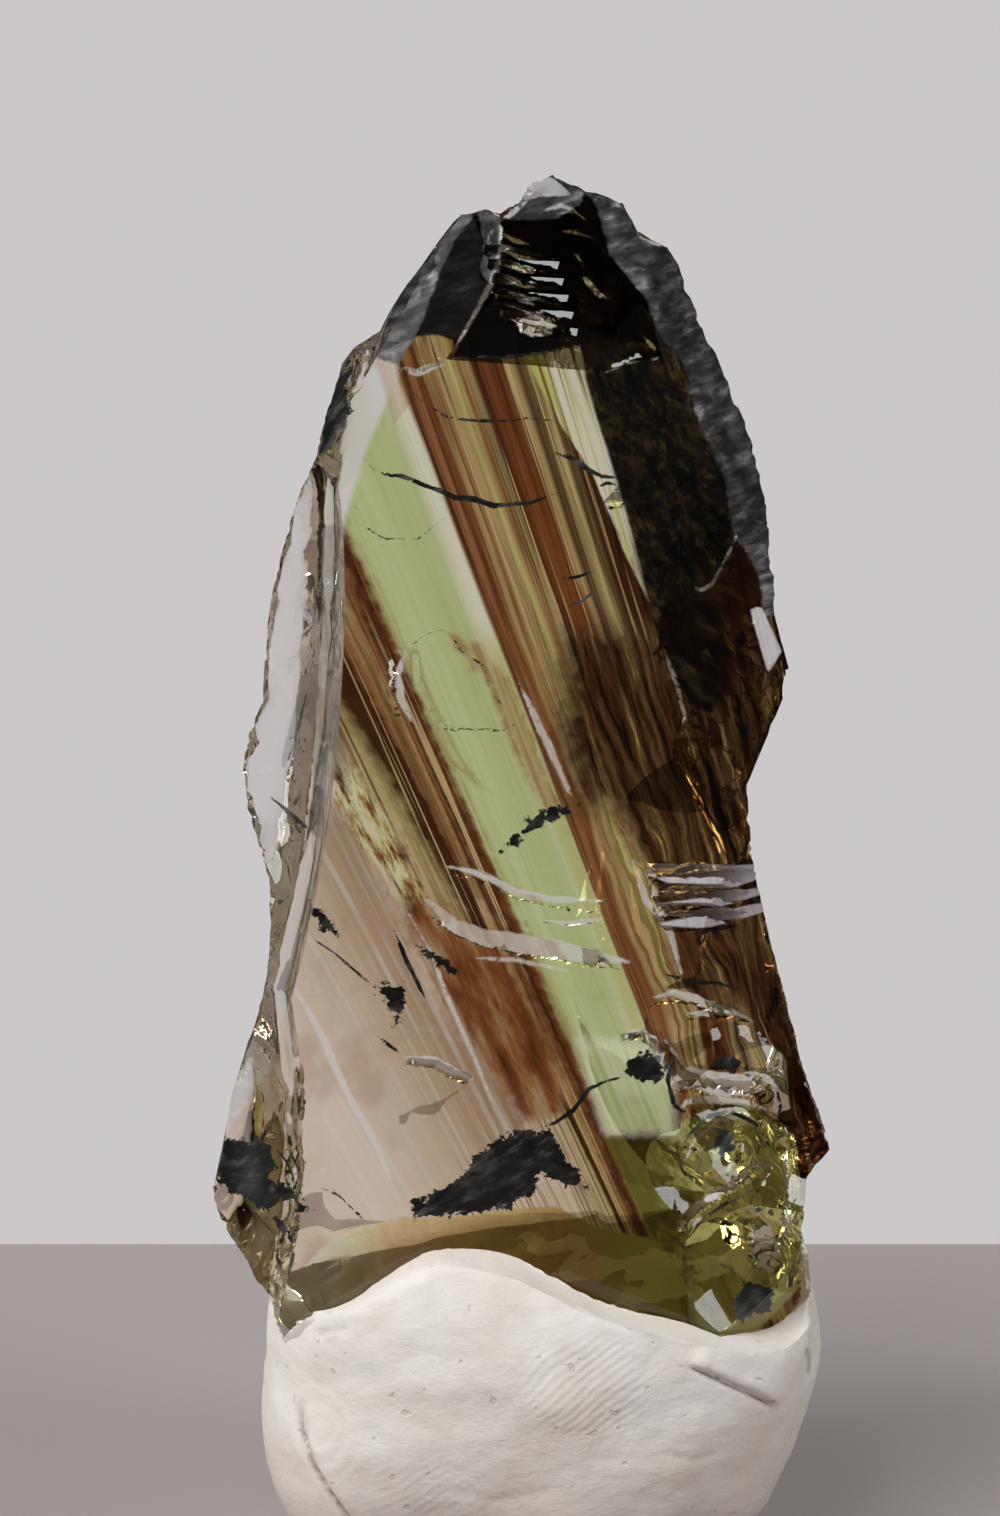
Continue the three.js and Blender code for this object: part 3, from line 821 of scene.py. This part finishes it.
# The bands from left to right, each with its place across the flow.
BANDS_LEFT = -22
BANDS_WIDTH = 36
BANDS = [
    (-22, ROSE), (-18.0, HONEY), (-16.9, DARK_BROWN), (-15.4, DARK_BROWN), (-14.8, BROWN), (-13.6, HONEY),
    (-12.8, BROWN), (-12.1, DARK_BROWN), (-11.5, RUST), (-11.1, GREEN), (-9.4, LIGHT_GREEN), (-8, GREEN),
    (-6.4, GREEN), (-5.3, MINT), (-4.8, MINT), (-4.6, RUST), (-3.9, BROWN), (-3.3, RUST), (-2.8, HONEY),
    (-2.5, BROWN), (-2.2, HONEY), (-1.6, HONEY), (-1.3, LEAF), (-0.9, BROWN), (-0.4, HONEY),
    (-0.1, DARK_BROWN), (0.5, RUST), (1.6, RUST), (2.1, HONEY), (2.5, DARK_BROWN), (3.4, HONEY),
    (4.2, DARK_BROWN),
]
bands = ((stripe - BANDS_LEFT) / BANDS_WIDTH).colour(
    *(((place - BANDS_LEFT) / BANDS_WIDTH, colour) for place, colour in BANDS)
)
streaks = noise_of(strand * 2.4, down * 0.05, y * 0.1, detail=4.0, roughness=0.65)
threads = noise_of(strand * 3.3, down * 0.035, y * 0.1, detail=3.0, roughness=0.6)
brown_part = flow.step(-5.0, -4.4).high(flow.step(-11.2, -11.8))
deepened = streaks.step(0.54, 0.34) * (0.2 + 0.6 * brown_part)
tint = mix(deepened, bands, mix(0.5, bands, DARK_BROWN), "MULTIPLY")
tint = mix(threads.step(0.42, 0.34) * brown_part * 0.8, tint, DARK_BROWN)
tint = mix(threads.step(0.6, 0.68) * brown_part * 0.75, tint, tone(180, 160, 112))
# The mint edge runs out at the tongue, whose right rim is brown: partly honey-brown glass, partly painted
# shade of the step.
mint_part = flow.step(-6.0, -5.4) * flow.step(-4.5, -4.8)
tint = mix(mint_part * down.step(7, 12), tint, mix(streaks, LEAF, GREEN))
fringe = (reading("fringe") + ragged * 1.3).step(-0.4, 0.3) * 0.8
tint = mix(fringe, tint, mix(streaks.step(0.42, 0.58), BROWN, HONEY))

# The other parts' own colours.
fibres = noise_of(strand * 1.6, down * 0.12, y * 0.1, detail=6.0, roughness=0.7)
fibre_tint = fibres.colour(
    (0.0, BLACK), (0.39, BLACK), (0.47, DARK_BROWN), (0.54, tone(64, 45, 22)), (0.61, tone(88, 68, 38)),
    (0.68, HONEY), (0.77, tone(190, 180, 140)),
)
glassy = noise_of(flow * 1.2, down * 0.05, y).step(0.42, 0.56)
wedge_tint = mix(glassy, tone(206, 208, 168), tone(150, 152, 70))
wedge_tint = mix(threads.step(0.5, 0.36), wedge_tint, tone(92, 74, 30))
rays = noise_of(flow * 0.9, down * 0.03, y * 0.1, detail=3.0)
rose_tint = ((flow + 34 + (rays - 0.5) * 9) / 14).colour(
    (0.0, tone(186, 169, 157)), (0.45, tone(170, 152, 132)), (0.78, tone(148, 124, 98)),
    (1.0, tone(128, 100, 74)),
)
rose_tint = mix(rays.step(0.5, 0.66) * 0.45, rose_tint, tone(196, 184, 172))
haze = noise_of(x * 0.3, v * 0.22, y, detail=2.0)
rose_tint = mix(haze.step(0.5, 0.7) * 0.5, rose_tint, tone(150, 120, 98))
frayed = noise_of(flow * 1.5, down * 0.42, y * 0.3, detail=6.0, roughness=0.7)
crackle_tint = frayed.colour(
    (0.34, DARK_BROWN), (0.41, RUST), (0.47, HONEY), (0.53, tone(176, 174, 128)), (0.66, tone(192, 190, 156)),
)
umber_tint = noise_of(flow * 0.55, down * 0.16, y * 0.2, detail=6.0, roughness=0.62).colour(
    (0.32, DARK_BROWN), (0.45, RUST), (0.53, BROWN), (0.61, tone(132, 112, 80)), (0.72, tone(160, 142, 112)),
)
speck = noise_of(x * 1.2, v * 1.2 + x * 0.8, y, detail=5.0, roughness=0.7)
pool_tint = mix(((x - 10) * 0.12 + speck).step(0.3, 0.75), tone(80, 76, 28), tone(150, 146, 88))
foot_tint = ((x + 16 + (speck - 0.5) * 9) / 24).colour(
    (0.0, tone(200, 186, 174)), (0.14, tone(198, 194, 168)), (0.24, tone(196, 188, 158)),
    (0.34, tone(184, 158, 128)), (0.5, tone(170, 146, 104)), (0.66, tone(160, 136, 88)),
    (0.8, tone(140, 110, 72)), (1.0, tone(126, 122, 60)),
)
# The dark zone's colour: dark brown glass darkened to near black by painted shade.
dark_tint = mix(speck.step(0.45, 0.68), BLACK, tone(54, 44, 22))


def zone(name, softness, jag):
    """1 inside a zone, with an edge this soft and this ragged, in millimetres."""
    return (reading(name) + ragged * jag).step(-softness, softness)


for name, softness, jag, colour in (
    ("fibre", 1.5, 2.4, fibre_tint),
    ("wedge", 0.08, 0.15, wedge_tint),
    ("rose", 0.8, 1.0, rose_tint),
    ("crackle", 0.5, 1.5, crackle_tint),
    ("umber", 0.5, 1.0, umber_tint),
    # meadow: glass tinted nearly clear, painted light that brightens the patch under the foot of the green
    # band.
    ("meadow", 0.5, 0.2, (0.93, 0.97, 0.72)),
    ("pool", 0.12, 0.2, pool_tint),
    ("foot", 0.12, 0.2, foot_tint),
    # The dark zone: dark brown glass with painted shade.
    ("dark", 0.12, 0.1, dark_tint),
    # The top: painted shade in near-black.
    ("top", 0.1, 0.1, BLACK),
    ("flange", 0.25, 0.2, CLEAR),
):
    tint = mix(zone(name, softness, jag), tint, colour)
# Pale glass where flakes came off, and painted highlights along the ribs, ledges, crescent, bulb arcs and
# peak.
pale = (reading("pale") + ragged * 0.3).step(-0.06, 0.1) * 0.8
tint = mix(pale, tint, tone(200, 198, 200))
# The colour lies near the front, so that it shows once from either side.
tint = nodes.add("ShaderNodeGamma", Color=tint, Gamma=reading("front") * 1.5 + 0.25)
blend = nodes.add(
    "ShaderNodeBsdfPrincipled", Base_Color=tint, Roughness=0.01, IOR=1.5, Transmission_Weight=1.0
)

# Torn breaks are grey and dull, on the bevels wholly. On two smooth breaks, the left facet and the ridge, a
# small share of the same grey is painted sheen.
hackles = noise_of(x * 0.4 + v * 0.1, v * 1.5 - x * 0.5, y * 0.4, detail=6.0, roughness=0.65)
grey = (hackles * 0.7 + noise_of(x * 0.5, v * 0.3, y * 0.3, detail=2.0) * 0.3).colour(
    (0.36, (0.004, 0.004, 0.004)), (0.48, (0.024, 0.023, 0.025)), (0.56, (0.075, 0.072, 0.075)),
    (0.66, (0.26, 0.25, 0.25)),
)
# The same pale mask paints highlights onto the torn breaks of the top.
grey = mix(pale, grey, (0.5, 0.48, 0.48))
torn = nodes.add("ShaderNodeBsdfPrincipled", Base_Color=grey, Roughness=0.36)
facing = reading("facing")
for name, jag, amount in (("torn", 0.4, 0.93), ("slate", 0.4, 0.12), ("ridge", 0.1, 0.36)):
    shown = zone(name, 0.1, jag) * facing * amount
    blend = nodes.add("ShaderNodeMixShader", in_0=shown, in_1=blend, in_2=torn)

# Pale veils paint light: the milky bars at the right edge are painted reflections of the soft lights, and the
# pale green veil under the foot of the green band is painted light that brightens the glass there.
painted_light_meadow = zone("meadow", 0.5, 0.6)
milk = mix(threads.step(0.35, 0.65), srgb(222, 216, 220), srgb(198, 192, 196))
pistachio = mix(streaks.step(0.4, 0.6), srgb(182, 196, 132), srgb(206, 216, 164))
veil = nodes.add("ShaderNodeBsdfPrincipled", Base_Color=mix(painted_light_meadow, milk, pistachio), Roughness=0.3)
veiled = (zone("milky", 0.08, 0.12) * 0.72).high(painted_light_meadow * 0.5) * facing
blend = nodes.add("ShaderNodeMixShader", in_0=veiled, in_1=blend, in_2=veil)

# Soot-black inclusions and open cracks hide what lies behind them.
char = noise_of(x * 0.5 + v * 0.2, v * 1.1 - x * 0.6, y, detail=5.0, roughness=0.7).colour(
    (0.42, (0.005, 0.005, 0.005)), (0.52, (0.012, 0.011, 0.01)), (0.6, (0.036, 0.034, 0.032)),
    (0.72, (0.09, 0.086, 0.08)),
)
soot = nodes.add("ShaderNodeBsdfPrincipled", Base_Color=char, Roughness=0.32)
jagged = noise_of(x * 1.6, v * 1.6, y, detail=5.0, roughness=0.7) - 0.5
cracks = (reading("crack") + ragged * 0.2).step(-0.03, 0.03)
patches = (reading("patch") + jagged * 2.0).step(-0.05, 0.05)
blend = nodes.add("ShaderNodeMixShader", in_0=cracks.high(patches) * facing, in_1=blend, in_2=soot)
smoke = nodes.add("ShaderNodeVolumeAbsorption", Color=(0.62, 0.58, 0.36), Density=14.0)
nodes.add("ShaderNodeOutputMaterial", Surface=blend, Volume=smoke)
crystal.data.materials.append(material)
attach(crystal, "root")
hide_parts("crystal")

# ----------------------------------------------------------------------------------------------------
# The putty: a lump of white modelling clay, pressed around the shard's foot by thumb and patted flat below.
# Skin ridges, small tears and a folded-over flap at the right stay where the fingers left them.
PUTTY_EDGE = 0.5
PUTTY_CREASE = 20
points, triangles = read_mesh("putty_base")
triangles = even_out(points, triangles, PUTTY_CREASE)
for shortest in (2.0, PUTTY_EDGE):
    points, triangles = split_long_edges(points, triangles, shortest, lambda middles: PUTTY_EDGE)
    triangles = even_out(points, triangles, PUTTY_CREASE)
points = soften(points, triangles, 32, 14)
normals = corner_normals(points, triangles)
x, y, z = points.T
free = ramp(z, 0.6, 3.0)
before = ramp(-normals[:, 1], 0.0, 0.4)
# Folds and scratches in the front: a line, its width, its depth, and how far the side above it stands proud.
FOLDS = [
    ([(10.2, 17.4), (12.0, 16.4), (14.1, 15.1), (16.4, 13.2)], 0.22, 0.3, 0.5),
    ([(-13.6, 13.6), (-13.3, 11.6), (-12.7, 10.0), (-11.9, 8.6), (-10.8, 7.1), (-9.2, 5.0)], 0.3, 0.4, 0.3),
    ([(-12.5, 18.0), (-11.4, 18.7), (-10.2, 19.1)], 0.25, 0.16, 0.0),
    ([(-12.0, 17.6), (-11.0, 18.1)], 0.2, 0.1, 0.0),
    ([(8.6, 12.0), (10.6, 11.2), (12.6, 11.4)], 0.3, 0.08, 0.05),
    ([(-4.0, 9.4), (-1.0, 8.8), (2.4, 9.6)], 0.4, 0.06, 0.04),
    ([(17.9, 16.4), (18.3, 15.2), (18.2, 14.0)], 0.35, 0.3, 0.0),
]
FLAP_REACH = 2.2
CREASE_SHADE_WIDTH = 0.16
pressed = 0.34 * rough(points, (9, 9, 7), 21) + 0.12 * rough(points, (3.4, 3.4, 2.4), 22)
pressed += 0.03 * rough(points, (1, 1, 0.8), 23)
for line, width, depth, flap in FOLDS:
    above, way = from_line(x, z, line)
    reach = ramp(way, 0, 0.15) * ramp(way, 1, 0.85)
    proud = flap * (above > 0) * np.exp(-above / FLAP_REACH)
    pressed += before * reach * (proud - depth * np.exp(-((above / width) ** 2)))
swirl = np.hypot(x + 12.2, (z - 12.0) * 0.8)
pressed += before * 0.03 * np.sin(swirl * math.tau / 0.85) * ramp(swirl, 3.2, 2.0)
points = points + normals * (free * pressed)[:, None]
points[:, 2] = np.maximum(points[:, 2], 0)
putty = make_piece("putty_lump", points, triangles, 50)
# Painted shade darkens the folds.
x, y, z = points.T
crease_shade = np.zeros(len(points))
for line, _, depth, _ in FOLDS:
    above, way = from_line(x, z, line)
    reach = ramp(way, 0, 0.2) * ramp(way, 1, 0.8)
    crease_shade = np.maximum(crease_shade, before * reach * depth * 2 * np.exp(-((above / CREASE_SHADE_WIDTH) ** 2)))
lay(putty, "crease_shade", crease_shade)

material, nodes = new_material("white_putty")
spot = nodes.add("ShaderNodeTexCoord", out=3)
x, y, z = axis_mm(0), axis_mm(1), axis_mm(2)


def oval(middle_x, middle_z, wide, tall):
    """0 in the middle of an upright oval of the front, and 1 at its edge."""
    return (x - middle_x) * (x - middle_x) / wide + (z - middle_z) * (z - middle_z) / tall


cloud = noise_of(x * 0.22, y * 0.22, z * 0.22, detail=3.0)
fleck = noise_of(x * 2.2, y * 2.2, z * 3.2, detail=3.0, roughness=0.65)
spots = noise_of(x * 1.1 + 9, y * 1.1, z * 1.1, detail=1.0)
# Skin ridges lie half a millimetre apart, in two thumb marks.
bend = noise_of(x * 0.16, y * 0.16, z * 0.16, detail=1.0) * 5.0
ridges = ((x * 0.62 - z * 0.78) * 12.0 + bend * 4.0).sine()
thumb = oval(4.2, 16.2, 22, 14).step(1.0, 0.35) + oval(-6, 9, 14, 9).step(1.0, 0.3) * 0.5
clay = mix(cloud.step(0.3, 0.7), srgb(232, 227, 222), srgb(224, 216, 207))
clay = mix(fleck.step(0.62, 0.74) * 0.35, clay, srgb(206, 196, 186))
clay = mix(spots.step(0.72, 0.76) * 0.35, clay, srgb(170, 156, 142))
# Darker in the grooves between the skin ridges: painted shade.
clay = mix(thumb * ridges.step(0.2, -0.9) * 0.08, clay, srgb(200, 188, 176))
# Darker towards the bottom: painted shade, as the light falls from above.
clay = mix(z.step(15, 2) * 0.55, clay, srgb(190, 177, 164))
# Darker along the folds: painted shade.
clay = mix(reading("crease_shade").low(0.9), clay, srgb(128, 110, 98))
height = ridges * thumb * 0.012 + fleck * 0.07 - spots.step(0.7, 0.76) * 0.05
skin = nodes.add("ShaderNodeBump", Height=height, Distance=MM, Strength=0.8)
chalk = nodes.add("ShaderNodeBsdfPrincipled", Base_Color=clay, Roughness=0.62 + cloud * 0.12, Normal=skin)
nodes.add("ShaderNodeOutputMaterial", Surface=chalk)
putty.data.materials.append(material)
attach(putty, "root")
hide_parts("putty_base")
